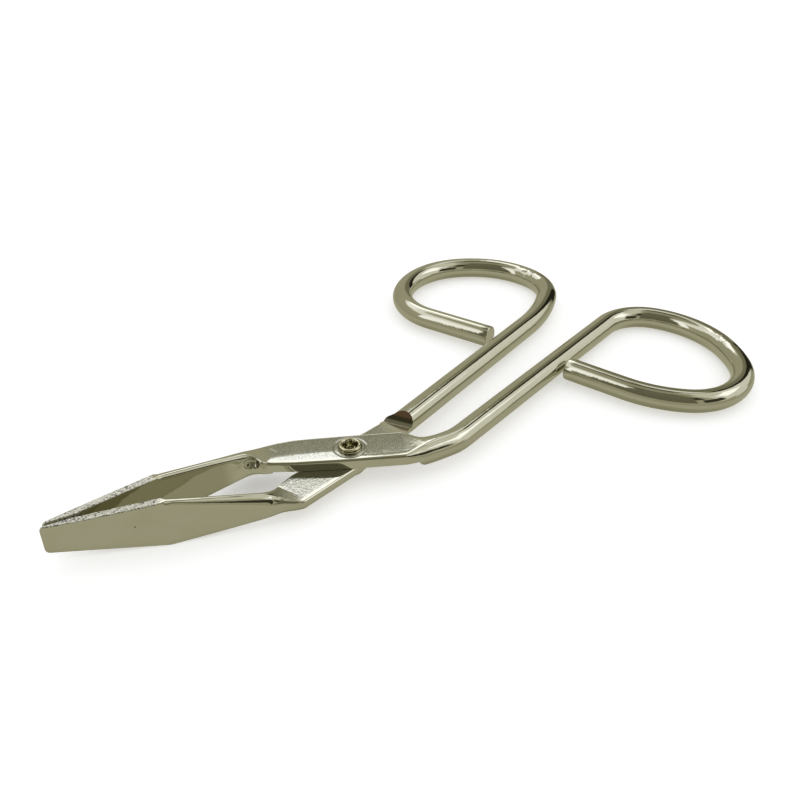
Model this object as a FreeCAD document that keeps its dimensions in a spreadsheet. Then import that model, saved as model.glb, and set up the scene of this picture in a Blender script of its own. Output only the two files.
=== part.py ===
"""Wire-handled snips: two cold-formed rods that cross at a half-lap and turn on one hollow rivet.

Millimetres and degrees. +Z is up, the origin is on the rivet axis at the flat underside of the
rivet head, and +X runs along the handles towards the finger loops. Sketches are drawn about the
plane where the half-laps meet, and each body is then lifted as a whole. The upper arm carries the
-Y loop and the +Y jaw, the lower arm the opposite. Names starting u_ and l_ belong to the upper
and lower arm.
"""
import FreeCAD
import Part
import Sketcher
import math
import os

V = FreeCAD.Vector
Constraint = Sketcher.Constraint

# ------------------------------------------------------------------------------- dimensions
# Alias, value, what it is. Heights are above the mating plane of the half-laps.
DIMENSIONS = [
    ("rod_dia", 3.2, "steel rod both arms are made from"),
    ("lap_gap", 0.02, "each half-lap face stands this far off the mating plane"),
    ("lap_shoulder", 8.52, "rivet axis to the foot of the half-lap shoulder"),
    ("lap_far_end", -8.85, "rivet axis to the jaw end of the half-lap cut"),
    ("lap_cut_height", 3.4, "height of the half-lap cut"),
    ("lap_cut_width", 13.0, "width of the half-lap cut across the arm"),
    ("shoulder_lean", 34.0, "lean of the half-lap shoulders from upright"),
    ("l_lap_heading", 13.5, "heading of the lower half-lap cut"),
    ("u_lap_heading", -44.0 - 13.5, "heading of the upper half-lap cut"),
    ("jaw_flat_cut", 0.012, "skim taken off the outer side of each jaw so that it is flat"),
    ("jaw_flat_ahead", 0.6, "overrun of the skim beyond the jaw tip"),
    ("jaw_flat_outside", 1.0, "overrun of the skim outside the jaw"),
    ("l_flat_length", 12.8, "length of the skim on the lower jaw"),
    ("u_flat_length", 12.384, "length of the skim on the upper jaw"),
    ("l_bore_radius", 1.0, "bore the rivet is set into"),
    ("u_bore_radius", 1.05, "running bore"),
    ("plate_top", 1.38, "top of the pressed flat of the upper arm"),
    ("rivet_radius", 1.0, "rivet body radius"),
    ("head_radius", 1.75, "radius of the head underneath"),
    ("head_height", 0.42, "thickness of the head underneath"),
    ("head_gap", 0.02, "gap between the head and the lower plate"),
    ("head_bevel_in", 0.25, "radial size of the head bevel"),
    ("head_bevel_up", 0.22, "height of the head bevel"),
    ("rim_radius", 1.4, "outer radius of the rolled rim"),
    ("rim_top", 1.95, "top of the rolled rim"),
    ("rim_gap", 0.03, "gap between the rim and the upper plate"),
    ("rim_foot_in", 0.1, "radial size of the bevel under the rim"),
    ("rim_foot_up", 0.16, "height of the bevel under the rim"),
    ("rim_bevel", 0.2, "bevel on the upper outer edge of the rim"),
    ("hollow_radius", 0.62, "radius of the open hollow"),
    ("hollow_floor", 0.75, "edge of the hollow floor"),
    ("hollow_dish", 0.2, "depth of the cone in the hollow floor"),
    ("mouth_out", 0.22, "radial size of the bevel at the mouth of the hollow"),
    ("mouth_down", 0.25, "depth of the bevel at the mouth of the hollow"),
]

# Rod centre line of each handle from the cut end: start x, y, heading, then (length, turn) runs.
HANDLES = {
    "u": (34.38, -11.50, -89.3, [
        (8.68, 0.0), (8.52, 29.6), (6.38, 43.1), (8.70, 54.2), (4.24, 11.8),
        (13.21, 56.2), (9.06, 72.1), (37.0, 0.0), (5.95, -35.5)]),
    "l": (35.28, 2.10, 94.8, [
        (10.69, 0.0), (10.97, -71.5), (12.91, -65.3), (5.32, -21.0),
        (8.48, -39.3), (7.32, -54.1), (10.57, -23.0), (31.8, 0.0)]),
}

# Directions along and across the upper plate.
PLATE_ALONG = (0.718, -0.696)
PLATE_ACROSS = (0.696, 0.718)

# Outer face of each jaw: x, y of its tip corner, heading, inward side (1 left, -1 right).
OUTER_FACES = {"u": (-31.04, 17.632, 160.1, 1), "l": (-31.68, 17.28, 138.3, -1)}
# Reference line for the lower stations where the neck turns into the blade, laid out the same way.
L_NECK_FACE = (-8.96, -1.504, 142.0, -1)


def on_plate(along, across, *shape):
    """An upper plate station, placed from the rivet axis along and across the plate."""
    x, y = (along * a + across * b for a, b in zip(PLATE_ALONG, PLATE_ACROSS))
    return (x, y) + shape


def face_point(face, back, inward):
    """The point this far back from the start of a face and this far in from it."""
    x, y, heading, side = face
    angle = math.radians(heading)
    return (x - back * math.cos(angle) - inward * side * math.sin(angle),
            y - back * math.sin(angle) + inward * side * math.cos(angle))


def from_face(face, back, width, top, bottom, top_round, bottom_round=None):
    """A station whose width is measured in from a face, back from the start of that face."""
    if bottom_round is None:
        bottom_round = top_round
    return face_point(face, back, width / 2) + (
        face[2], width, top, bottom, top_round, bottom_round)


# Forged part of each arm, station by station from the rod to the jaw tip.
# Full rows hold the values named in STATION_COLUMNS. on_plate rows start with along, across.
STATION_COLUMNS = (
    "x", "y", "heading", "width", "top", "bottom", "top_round", "bottom_round")
STATIONS = {
    "u_forged": [
        on_plate(9.1612, -0.5809, 137.0, 3.616, 1.52, -1.456, 1.344, 1.44),
        on_plate(8.3292, -0.2929, 136.0, 4.64, 1.424, -1.216, 0.768, 1.152),
        on_plate(7.1772, -0.1009, 136.0, 5.248, 1.3824, -0.896, 0.384, 0.768),
        on_plate(0.0092, 0.0591, 136.0, 5.12, 1.3824, -0.16, 0.32, 0.064),
        on_plate(-6.8388, 0.3151, 136.0, 4.736, 1.3824, -0.064, 0.288, 0.032),
        on_plate(-8.6948, 0.3151, 138.0, 4.256, 1.3888, -0.064, 0.288, 0.032),
        (-7.84, 7.648, 151.0, 3.232, 1.504, -0.448, 0.384, 0.256),
        from_face((-6.536, 8.68064, 158.0, 1), -1.984, 1.792, 1.888, -1.152, 0.384),
        from_face((-6.584, 8.5632, 158.0, 1), -3.68, 1.28, 2.08, -1.472, 0.288),
    ],
    "u_jaw": [
        from_face((-19.168, 13.376, 158.0, 1), 6.72, 1.088, 2.48, -1.92, 0.256),
        from_face(OUTER_FACES["u"], 12.64, 1.088, 3.04, -2.976, 0.144),
        from_face(OUTER_FACES["u"], 4.0, 0.944, 2.24, -2.0, 0.128),
    ],
    "u_tip": [
        from_face(OUTER_FACES["u"], 4.0, 1.0688, 2.24, -2.0, 0.128),
        from_face(OUTER_FACES["u"], -0.096, 0.2944, 1.824, -1.632, 0.128),
    ],
    "l_forged": [
        (8.512, -0.56, 175.0, 3.776, 1.472, -1.552, 1.344, 1.344),
        (6.72, -0.384, 175.0, 4.128, 1.28, -1.44, 0.832, 0.832),
        (0.0, 0.224, 175.0, 4.8, 0.16, -1.408, 0.064, 0.576),
        (-7.36, 0.96, 174.0, 4.864, 0.064, -1.376, 0.032, 0.576),
        (-9.152, 1.024, 171.0, 4.64, 0.064, -1.376, 0.032, 0.576),
        (-10.688, 1.728, 148.0, 3.008, 0.32, -1.504, 0.256, 0.48),
        from_face(L_NECK_FACE, -4.224, 2.144, 0.832, -1.696, 0.32, 0.288),
        from_face(L_NECK_FACE, -5.6, 1.504, 1.248, -1.92, 0.288, 0.16),
    ],
    "l_jaw": [
        from_face(L_NECK_FACE, -10.24, 1.184, 2.064, -2.56, 0.256, 0.16),
        from_face(OUTER_FACES["l"], 13.056, 1.088, 2.976, -3.264, 0.144),
        from_face(OUTER_FACES["l"], 4.096, 0.944, 1.92, -2.464, 0.128),
    ],
    "l_tip": [
        from_face(OUTER_FACES["l"], 4.096, 1.0688, 1.92, -2.464, 0.128),
        from_face(OUTER_FACES["l"], -0.064, 0.288, 1.6, -2.112, 0.128),
    ],
}
# Station numbers in the forged run where the plate starts and ends; the rod end is number 0.
PLATE_SPAN = {"u": (3, 6), "l": (2, 5)}

# Arcs of the round rod section, as start and end angle, matching the edges of a station.
ROUND_ARCS = [(262, 278), (278, 352), (-8, 8), (8, 82), (82, 98), (98, 172), (172, 188), (188, 262)]

# ------------------------------------------------------------------------------ spreadsheet
doc = FreeCAD.newDocument("wire_snips")
sheet = doc.addObject("Spreadsheet::Sheet", "Numbers")


def fill_sheet(rows, first_row):
    """Writes alias, value and note rows, and returns the next free row."""
    for i, (alias, value, note) in enumerate(rows, start=first_row):
        sheet.set("A%d" % i, alias)
        sheet.set("B%d" % i, repr(value))
        sheet.set("C%d" % i, note)
        sheet.setAlias("B%d" % i, alias)
    doc.recompute()
    return first_row + len(rows)


def num(alias):
    return float(getattr(sheet, alias))


def handle_rows():
    rows = []
    for side, (x, y, heading, runs) in HANDLES.items():
        rows += [(side + "_start_x", x, "handle rod start"),
                 (side + "_start_y", y, "handle rod start"),
                 (side + "_start_heading", heading, "handle rod start heading")]
        for i, (length, turn) in enumerate(runs):
            rows += [("%s_run%d_length" % (side, i), length, "handle run length"),
                     ("%s_run%d_turn" % (side, i), turn, "handle run turn")]
    return rows


def walk_rod(side):
    """Lines and arcs of a handle's centre line, and the x, y and heading where it ends."""
    x, y = num(side + "_start_x"), num(side + "_start_y")
    angle = math.radians(num(side + "_start_heading"))
    edges = []
    for i in range(len(HANDLES[side][3])):
        length = num("%s_run%d_length" % (side, i))
        turn = math.radians(num("%s_run%d_turn" % (side, i)))
        start = V(x, y, 0)
        if abs(turn) < 1e-9:
            x, y = x + length * math.cos(angle), y + length * math.sin(angle)
            edges.append(Part.LineSegment(start, V(x, y, 0)))
        else:
            radius = length / turn  # negative for a right turn
            centre = V(x - radius * math.sin(angle), y + radius * math.cos(angle), 0)
            middle, end = (
                centre + V(radius * math.sin(a), -radius * math.cos(a), 0)
                for a in (angle + turn / 2, angle + turn))
            edges.append(Part.Arc(start, middle, end))
            x, y = end.x, end.y
            angle += turn
    return edges, (x, y, math.degrees(angle) % 360.0)


def station_rows():
    return [("%s%d_%s" % (key, i, column), round(value, 4), "forged station")
            for key, stations in STATIONS.items()
            for i, station in enumerate(stations)
            for column, value in zip(STATION_COLUMNS, station)]


next_row = fill_sheet(DIMENSIONS + handle_rows(), 1)
for side in HANDLES:
    # The forging starts where the rod ends, and each blade where the forged neck ends.
    STATIONS[side + "_forged"].insert(0, walk_rod(side)[1])
    STATIONS[side + "_jaw"].insert(0, STATIONS[side + "_forged"][-1])
fill_sheet(station_rows(), next_row)


# --------------------------------------------------------------------------------- sketches
def sketch_on(body, name, role="XY_Plane", place=None):
    sketch = body.newObject("Sketcher::SketchObject", name)
    plane = [f for f in body.Origin.OriginFeatures if f.Role == role][0]
    sketch.AttachmentSupport = [(plane, "")]
    sketch.MapMode = "FlatFace"
    if place is not None:
        sketch.AttachmentOffset = place
    return sketch


def standing(x, y, across, up):
    """An upright placement: sketch X runs along across, sketch Y along up."""
    return FreeCAD.Placement(V(x, y, 0), FreeCAD.Rotation(across, up, across.cross(up), "ZXY"))


def cross_sketch(body, name, prefix):
    """A sketch square to the arm at the sheet's prefix + x, y and heading, seen along it."""
    angle = math.radians(num(prefix + "heading"))
    right = V(math.sin(angle), -math.cos(angle), 0)
    place = standing(num(prefix + "x"), num(prefix + "y"), right, V(0, 0, 1))
    sketch = sketch_on(body, name, place=place)
    for axis in "xy":
        sketch.setExpression(
            ".AttachmentOffset.Base." + axis, "Numbers.%s%s * 1mm" % (prefix, axis))
    return sketch


def bind(sketch, constraint, name, expression):
    """Adds a dimension to a sketch and ties it to the sheet."""
    sketch.renameConstraint(sketch.addConstraint(constraint), name)
    sketch.setExpression("Constraints." + name, expression + " * 1mm")


def draw_circle(sketch, radius, expression):
    sketch.addGeometry(Part.Circle(V(0, 0, 0), V(0, 0, 1), radius), False)
    sketch.addConstraint(Constraint("Coincident", 0, 3, -1, 1))
    bind(sketch, Constraint("Radius", 0, radius), "circle_radius", expression)


def draw_polygon(sketch, points):
    count = len(points)
    corners = [V(x, y, 0) for x, y in points]
    sketch.addGeometry(
        [Part.LineSegment(corners[i], corners[(i + 1) % count]) for i in range(count)], False)
    sketch.addConstraint(
        [Constraint("Coincident", i, 2, (i + 1) % count, 1) for i in range(count)])
    sketch.addConstraint([Constraint("Block", i) for i in range(count)])


def arc(x, y, radius, start, end):
    circle = Part.Circle(V(x, y, 0), V(0, 0, 1), radius)
    return Part.ArcOfCircle(circle, math.radians(start), math.radians(end))


def round_section(body, name, prefix):
    """The round rod section, in eight arcs so that it lofts edge to edge into a station."""
    sketch = cross_sketch(body, name, prefix)
    radius = num("rod_dia") / 2
    sketch.addGeometry([arc(0, 0, radius, start, end) for start, end in ROUND_ARCS], False)
    sketch.addConstraint([Constraint("Block", i) for i in range(len(ROUND_ARCS))])
    return sketch


def station_section(body, name, prefix):
    """The rounded rectangle of one station, driven by the sheet."""
    sketch = cross_sketch(body, name, prefix)
    width, top, bottom, top_round, bottom_round = (
        num(prefix + column) for column in STATION_COLUMNS[3:])
    half = width / 2
    top_x, top_y = half - top_round, top - top_round
    bottom_x, bottom_y = half - bottom_round, bottom + bottom_round

    def line(x1, y1, x2, y2):
        return Part.LineSegment(V(x1, y1, 0), V(x2, y2, 0))

    sketch.addGeometry([
        line(-bottom_x, bottom, bottom_x, bottom),
        arc(bottom_x, bottom_y, bottom_round, 270, 360),
        line(half, bottom_y, half, top_y),
        arc(top_x, top_y, top_round, 0, 90),
        line(top_x, top, -top_x, top),
        arc(-top_x, top_y, top_round, 90, 180),
        line(-half, top_y, -half, bottom_y),
        arc(-bottom_x, bottom_y, bottom_round, 180, 270),
    ], False)
    sketch.addConstraint(
        [Constraint("Horizontal", 0), Constraint("Vertical", 2),
         Constraint("Horizontal", 4), Constraint("Vertical", 6)]
        + [Constraint("Tangent", i, 2, (i + 1) % 8, 1) for i in range(8)]
        + [Constraint("Equal", 1, 7), Constraint("Equal", 3, 5)])
    for side_name, constraint, expression in [
        ("bottom_round", Constraint("Radius", 1, bottom_round), "Numbers.%sbottom_round"),
        ("top_round", Constraint("Radius", 3, top_round), "Numbers.%stop_round"),
        ("right", Constraint("DistanceX", -1, 1, 2, 1, half), "Numbers.%swidth / 2"),
        ("left", Constraint("DistanceX", 6, 1, -1, 1, half), "Numbers.%swidth / 2"),
        ("top", Constraint("DistanceY", -1, 1, 4, 1, top), "Numbers.%stop"),
        ("bottom", Constraint("DistanceY", 0, 1, -1, 1, -bottom), "-Numbers.%sbottom"),
    ]:
        bind(sketch, constraint, "side_" + side_name, expression % prefix)
    return sketch


def sections(body, key):
    """All the sketches of one run of stations; a forged run starts with the round rod."""
    sketches = []
    for i in range(len(STATIONS[key])):
        draw = round_section if i == 0 and key.endswith("_forged") else station_section
        sketches.append(draw(body, "%s_s%02d" % (key, i), "%s%d_" % (key, i)))
    return sketches


# --------------------------------------------------------------------------------- features
def handle(body, side):
    """The bent rod: a circle swept along a chain of lines and arcs."""
    name = side + "_rod"
    path = sketch_on(body, name + "_path")
    edges = walk_rod(side)[0]
    path.addGeometry(edges, False)
    path.addConstraint([Constraint("Block", i) for i in range(len(edges))])
    profile = cross_sketch(body, name + "_round", side + "_start_")
    draw_circle(profile, num("rod_dia") / 2, "Numbers.rod_dia / 2")
    doc.recompute()
    pipe = body.newObject("PartDesign::AdditivePipe", name)
    pipe.Profile = (profile, [""])
    pipe.Spine = (path, ["Edge%d" % (i + 1) for i in range(len(edges))])
    pipe.Transition = "Transformed"
    doc.recompute()


def loft(body, name, sketches, ruled):
    feature = body.newObject("PartDesign::AdditiveLoft", name)
    feature.Profile = (sketches[0], [""])
    feature.Sections = [(sketch, [""]) for sketch in sketches[1:]]
    feature.Ruled = ruled
    doc.recompute()


def pocket(body, name, sketch, length=None):
    """Cuts a sketch to both sides of its plane, right through unless a length is given."""
    feature = body.newObject("PartDesign::Pocket", name)
    feature.Profile = (sketch, [""])
    if length is None:
        feature.Type = "ThroughAll"
    else:
        feature.Type = "Length"
        feature.Length = length
    feature.Midplane = True
    doc.recompute()


def lap_pocket(body, side, up):
    """Clears the half-lap on the up side of the mating plane, to a leaning shoulder."""
    angle = math.radians(num(side + "_lap_heading"))
    along = V(math.cos(angle), math.sin(angle), 0)
    sketch = sketch_on(body, side + "_lap_side", place=standing(0, 0, along, up))
    face = -num("lap_gap")
    shoulder, far, height = num("lap_shoulder"), num("lap_far_end"), num("lap_cut_height")
    lean = height * math.tan(math.radians(num("shoulder_lean")))
    draw_polygon(
        sketch, [(far, face), (shoulder, face), (shoulder + lean, height), (far, height)])
    pocket(body, side + "_lap", sketch, num("lap_cut_width"))


def jaw_flat(body, side):
    """Skims the outer side of a jaw flat from its tip corner back to its widest station."""
    cut, outside = num("jaw_flat_cut"), -num("jaw_flat_outside")
    ahead, length = -num("jaw_flat_ahead"), num(side + "_flat_length")
    corners = [(ahead, cut), (length, cut), (length, outside), (ahead, outside)]
    sketch = sketch_on(body, side + "_flat_plan")
    draw_polygon(
        sketch, [face_point(OUTER_FACES[side], back, inward) for back, inward in corners])
    pocket(body, side + "_flat", sketch)


def bore(body, side):
    alias = side + "_bore_radius"
    sketch = sketch_on(body, side + "_bore_circle")
    draw_circle(sketch, num(alias), "Numbers." + alias)
    pocket(body, side + "_bore", sketch)


# ----------------------------------------------------------------------------------- pieces
def new_body(name):
    body = doc.addObject("PartDesign::Body", name)
    body.Label = name
    return body


def build_arm(name, side, lap_up):
    body = new_body(name)
    handle(body, side)
    forged, jaw, tip = (sections(body, side + run) for run in ("_forged", "_jaw", "_tip"))
    doc.recompute()
    first, last = PLATE_SPAN[side]
    loft(body, side + "_shoulder", forged[:first + 1], False)
    loft(body, side + "_plate", forged[first:last + 1], True)
    loft(body, side + "_neck", forged[last:], False)
    loft(body, side + "_blade", jaw, True)
    loft(body, side + "_pad", tip, True)
    lap_pocket(body, side, lap_up)
    jaw_flat(body, side)
    bore(body, side)
    return body


def build_rivet():
    """The rivet, turned from half its outline: head below, rolled rim and open hollow above."""
    body = new_body("pivot_rivet")
    sketch = sketch_on(body, "rivet_half", "XZ_Plane")
    shank, head, rim = num("rivet_radius"), num("head_radius"), num("rim_radius")
    hollow, floor = num("hollow_radius"), num("hollow_floor")
    # Lower station 3 is the plate section at the rivet axis.
    head_top = num("l_forged3_bottom") - num("head_gap")
    head_bottom = head_top - num("head_height")
    rim_bottom, rim_top = num("plate_top") + num("rim_gap"), num("rim_top")
    bevel = num("rim_bevel")
    draw_polygon(sketch, [  # radius, height
        (0, head_bottom),
        (head - num("head_bevel_in"), head_bottom),
        (head, head_bottom + num("head_bevel_up")),
        (head, head_top),
        (shank, head_top),
        (shank, rim_bottom),
        (rim - num("rim_foot_in"), rim_bottom),
        (rim, rim_bottom + num("rim_foot_up")),
        (rim, rim_top - bevel),
        (rim - bevel, rim_top),
        (hollow + num("mouth_out"), rim_top),
        (hollow, rim_top - num("mouth_down")),
        (hollow, floor),
        (0, floor - num("hollow_dish")),
    ])
    turned = body.newObject("PartDesign::Revolution", "rivet_turned")
    turned.Profile = (sketch, [""])
    turned.ReferenceAxis = (sketch, ["V_Axis"])
    turned.Angle = 360.0
    doc.recompute()
    return body


bodies = [
    build_arm("lower_arm", "l", V(0, 0, 1)),
    build_arm("upper_arm", "u", V(0, 0, -1)),
    build_rivet(),
]

# Lift everything so that the underside of the rivet head lies at z = 0.
for body in bodies:
    body.setExpression(
        ".Placement.Base.z",
        "(Numbers.head_height + Numbers.head_gap - Numbers.l_forged3_bottom) * 1mm")
doc.recompute()

# ----------------------------------------------------------------------------------- export
problems = ["%s: %s" % (item.Name, item.State) for item in doc.Objects
            if "Invalid" in item.State or "Error" in item.State]
for body in bodies:
    shape = body.Shape
    if shape.isNull() or not shape.isValid() or len(shape.Solids) != 1:
        problems.append("%s: null, invalid or not one solid" % body.Name)
if problems:
    raise RuntimeError("; ".join(problems))
os.makedirs("parts", exist_ok=True)
for body in bodies:
    body.Shape.exportStep("parts/%s.step" % body.Label)
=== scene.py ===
"""Nickel-plated hand tool: two bent-rod arms crossing in a half-lap joint on one rivet.

The rivet axis is the Z axis and z = 0 is the underside of the rivet head. The jaws point to -X
and +Y, the finger loops lie at +X. The upper arm has the far jaw (+Y side) and the near finger
loop (-Y side), the lower arm has the near jaw and the far loop. Geometry is worked out in mm
with z = 0 on the half-lap plane, and lifted and turned to metres in mesh_object().
"""
import math

import bmesh
import bpy
import numpy as np
from mathutils import Matrix, Vector
from mathutils.kdtree import KDTree


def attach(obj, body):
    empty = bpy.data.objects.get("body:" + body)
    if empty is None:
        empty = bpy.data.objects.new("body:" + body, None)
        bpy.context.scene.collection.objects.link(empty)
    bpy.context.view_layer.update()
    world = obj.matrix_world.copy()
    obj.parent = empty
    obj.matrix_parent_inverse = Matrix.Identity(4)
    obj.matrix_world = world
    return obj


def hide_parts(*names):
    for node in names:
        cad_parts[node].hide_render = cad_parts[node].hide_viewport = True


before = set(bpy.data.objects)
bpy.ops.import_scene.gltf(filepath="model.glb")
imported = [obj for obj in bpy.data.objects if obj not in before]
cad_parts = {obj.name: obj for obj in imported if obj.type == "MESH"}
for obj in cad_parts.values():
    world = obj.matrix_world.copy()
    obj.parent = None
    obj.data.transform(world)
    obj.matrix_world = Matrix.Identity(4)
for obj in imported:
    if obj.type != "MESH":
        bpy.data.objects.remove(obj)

MM = 0.001
LAP_Z = 1.848  # half-lap plane above the underside of the rivet head
ROD_D = 3.2
ROD_R = ROD_D / 2
SHANK_R = 1.0  # rivet shank
PIVOT_X, PIVOT_Y = 2.5, 1.52  # the rivet axis in the station tables, in rod diameters
SCENE = bpy.context.scene

# ------------------------------------------------------------------ cross-sections
# A ring has eight parts: bottom, corner, right, corner, top, corner, left, corner.
SIDE_POINTS, CORNER_POINTS = 8, 9
PART = np.repeat(np.arange(8), [SIDE_POINTS, CORNER_POINTS] * 4)
RING_POINTS = len(PART)
RIGHT_PART, LEFT_PART = 2, 6
NO_MASK = np.zeros(RING_POINTS)
TOP = (PART == 4).astype(float)
TOP_AND_CORNERS = ((PART >= 3) & (PART <= 5)).astype(float)
GROUND = np.maximum(TOP_AND_CORNERS, (PART == 0) * 0.7)  # grind mask of the jaw pads


def line_points(start, end):
    t = (np.arange(SIDE_POINTS) / SIDE_POINTS)[:, None]
    return np.array(start)[None] * (1 - t) + np.array(end)[None] * t


def arc_points(centre, radius, start, end, count=CORNER_POINTS):
    angle = np.radians(start + (end - start) * np.arange(count) / count)
    return np.stack([centre[0] + radius * np.cos(angle), centre[1] + radius * np.sin(angle)], 1)


def rect_ring(width, top, bottom, top_r, bottom_r):
    """Rounded rectangle: columns are across (right of travel) and up."""
    left, right = -width / 2, width / 2
    return np.concatenate([
        line_points((left + bottom_r, bottom), (right - bottom_r, bottom)),
        arc_points((right - bottom_r, bottom + bottom_r), bottom_r, 270, 360),
        line_points((right, bottom + bottom_r), (right, top - top_r)),
        arc_points((right - top_r, top - top_r), top_r, 0, 90),
        line_points((right - top_r, top), (left + top_r, top)),
        arc_points((left + top_r, top - top_r), top_r, 90, 180),
        line_points((left, top - top_r), (left, bottom + bottom_r)),
        arc_points((left + bottom_r, bottom + bottom_r), bottom_r, 180, 270),
    ])


def round_ring(radius):
    """Circle whose points match the parts of rect_ring: 16 degrees a side, 74 a corner."""
    arcs = []
    for side_start in (262, 352, 82, 172):
        corner_start = side_start + 16
        arcs.append(arc_points((0, 0), radius, side_start, corner_start, SIDE_POINTS))
        arcs.append(arc_points((0, 0), radius, corner_start, corner_start + 74))
    # The second side starts at 352 and ends at 368; the corner after it starts at 8.
    return np.concatenate(arcs)


def place(section, x, y, heading):
    """Stands a section across the direction of travel at x, y."""
    angle = math.radians(heading)
    across, up = section[:, 0], section[:, 1]
    return np.stack([x + across * math.sin(angle), y - across * math.cos(angle), up], 1)


# ---------------------------------------------------------------- measured tables
# Start x, y (mm) and heading at the rod's cut end, then its runs as (length mm, turn degrees).
UPPER_ROD = (34.38, -11.50, -89.3, [
    (8.68, 0.0), (8.52, 29.6), (6.38, 43.1), (8.70, 54.2), (4.24, 11.8), (13.21, 56.2),
    (9.06, 72.1), (37.0, 0.0), (5.95, -35.5)])
LOWER_ROD = (35.28, 2.10, 94.8, [
    (10.69, 0.0), (10.97, -71.5), (12.91, -65.3), (5.32, -21.0), (8.48, -39.3), (7.32, -54.1),
    (10.57, -23.0), (31.8, 0.0)])
CUT_END = ((0.0, 1.43), (0.03, 1.51), (0.09, 1.57), (0.18, ROD_R))  # distance, radius (mm)

# Axes of the upper arm's flat: along it towards the loop, and across it.
ALONG = (0.718, -0.696)
ACROSS = (0.696, 0.718)

# Outer edge lines: a point, the heading, and the side the metal lies on (1 left, -1 right).
UPPER_NECK_START = (0.4575, 4.2327, 158.0, 1)
UPPER_NECK = (0.4425, 4.196, 158.0, 1)
UPPER_NECK_END = (-3.49, 5.70, 158.0, 1)
UPPER_JAW = (-7.2, 7.03, 160.1, 1)
LOWER_NECK = (-0.3, 1.05, 142.0, -1)
LOWER_JAW = (-7.40, 6.92, 138.3, -1)


def station(x, y, heading, width, top, bottom, top_r, bottom_r=None):
    """Rod diameters in, mm out. The corners are alike unless bottom_r is given."""
    if bottom_r is None:
        bottom_r = top_r
    sizes = [size * ROD_D for size in (width, top, bottom, top_r, bottom_r)]
    return ((x - PIVOT_X) * ROD_D, (y - PIVOT_Y) * ROD_D, heading, *sizes)


def flat_at(along, across, *section):
    """Station by its place along and across the upper arm's flat."""
    return station(along * ALONG[0] + across * ACROSS[0],
                   along * ALONG[1] + across * ACROSS[1], *section)


def edge_at(edge, back, width, *section):
    """Station set back from an edge line's point, with its outer side on the line."""
    x, y, heading, side = edge
    angle = math.radians(heading)
    inward = side * width / 2
    return station(x - back * math.cos(angle) - inward * math.sin(angle),
                   y - back * math.sin(angle) + inward * math.cos(angle),
                   heading, width, *section)


# Place, then (heading,) width, top, bottom, top and bottom corner radius, in rod diameters.
# From the rod to the jaw: the bend, the half-lap flat, the neck, the jaw.
UPPER_STATIONS = [
    flat_at(3.46, 2.71, 139.0, 1.19, 0.482, -0.43, 0.44, 0.43),
    flat_at(3.14, 2.76, 136.5, 1.46, 0.450, -0.37, 0.28, 0.36),
    flat_at(2.76, 2.80, 136.0, 1.63, 0.434, -0.28, 0.13, 0.24),
    flat_at(0.74, 2.85, 136.0, 1.60, 0.432, -0.05, 0.10, 0.02),
    flat_at(-1.40, 2.93, 136.0, 1.48, 0.432, -0.02, 0.09, 0.01),
    flat_at(-1.98, 2.93, 138.0, 1.33, 0.434, -0.02, 0.09, 0.01),
    station(0.05, 3.91, 151.0, 1.01, 0.47, -0.14, 0.12, 0.08),
    edge_at(UPPER_NECK_START, -0.62, 0.56, 0.59, -0.36, 0.20),
    edge_at(UPPER_NECK, -1.15, 0.40, 0.65, -0.46, 0.16, 0.09),
    edge_at(UPPER_NECK_END, 2.10, 0.34, 0.775, -0.60, 0.155, 0.08),
    edge_at(UPPER_JAW, 4.10, 0.34, 0.943, -0.915, 0.145, 0.045),
    edge_at(UPPER_JAW, 3.95, 0.34, 0.95, -0.93, 0.045),
    edge_at(UPPER_JAW, 1.25, 0.295, 0.70, -0.625, 0.04),
]
UPPER_PAD = (edge_at(UPPER_JAW, 1.25, 0.334, 0.70, -0.625, 0.04),
             edge_at(UPPER_JAW, -0.03, 0.092, 0.57, -0.51, 0.04))
LOWER_STATIONS = [
    station(5.16, 1.345, 175.0, 1.18, 0.46, -0.485, 0.42, 0.42),
    station(4.90, 1.37, 175.0, 1.25, 0.43, -0.467, 0.34, 0.34),
    station(4.88, 1.375, 175.0, 1.255, -0.0069, -0.465, 0.09, 0.33),
    station(4.60, 1.40, 175.0, 1.29, -0.0069, -0.45, 0.09, 0.26),
    station(2.50, 1.59, 175.0, 1.50, -0.0069, -0.44, 0.09, 0.18),
    station(0.20, 1.82, 174.0, 1.52, -0.0069, -0.43, 0.09, 0.18),
    station(-0.36, 1.84, 171.0, 1.45, -0.0069, -0.43, 0.09, 0.18),
    station(-0.84, 2.06, 148.0, 0.94, 0.12, -0.47, 0.20, 0.15),
    edge_at(LOWER_NECK, -1.32, 0.67, 0.26, -0.53, 0.25, 0.09),
    edge_at(LOWER_NECK, -1.75, 0.47, 0.39, -0.60, 0.20, 0.05),
    edge_at(LOWER_NECK, -3.20, 0.37, 0.645, -0.80, 0.175, 0.05),
    edge_at(LOWER_JAW, 4.23, 0.34, 0.917, -1.01, 0.15, 0.045),
    edge_at(LOWER_JAW, 4.08, 0.34, 0.93, -1.02, 0.045),
    edge_at(LOWER_JAW, 1.28, 0.295, 0.60, -0.77, 0.04),
]
LOWER_PAD = (edge_at(LOWER_JAW, 1.28, 0.334, 0.60, -0.77, 0.04),
             edge_at(LOWER_JAW, -0.02, 0.090, 0.50, -0.66, 0.04))

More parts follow.
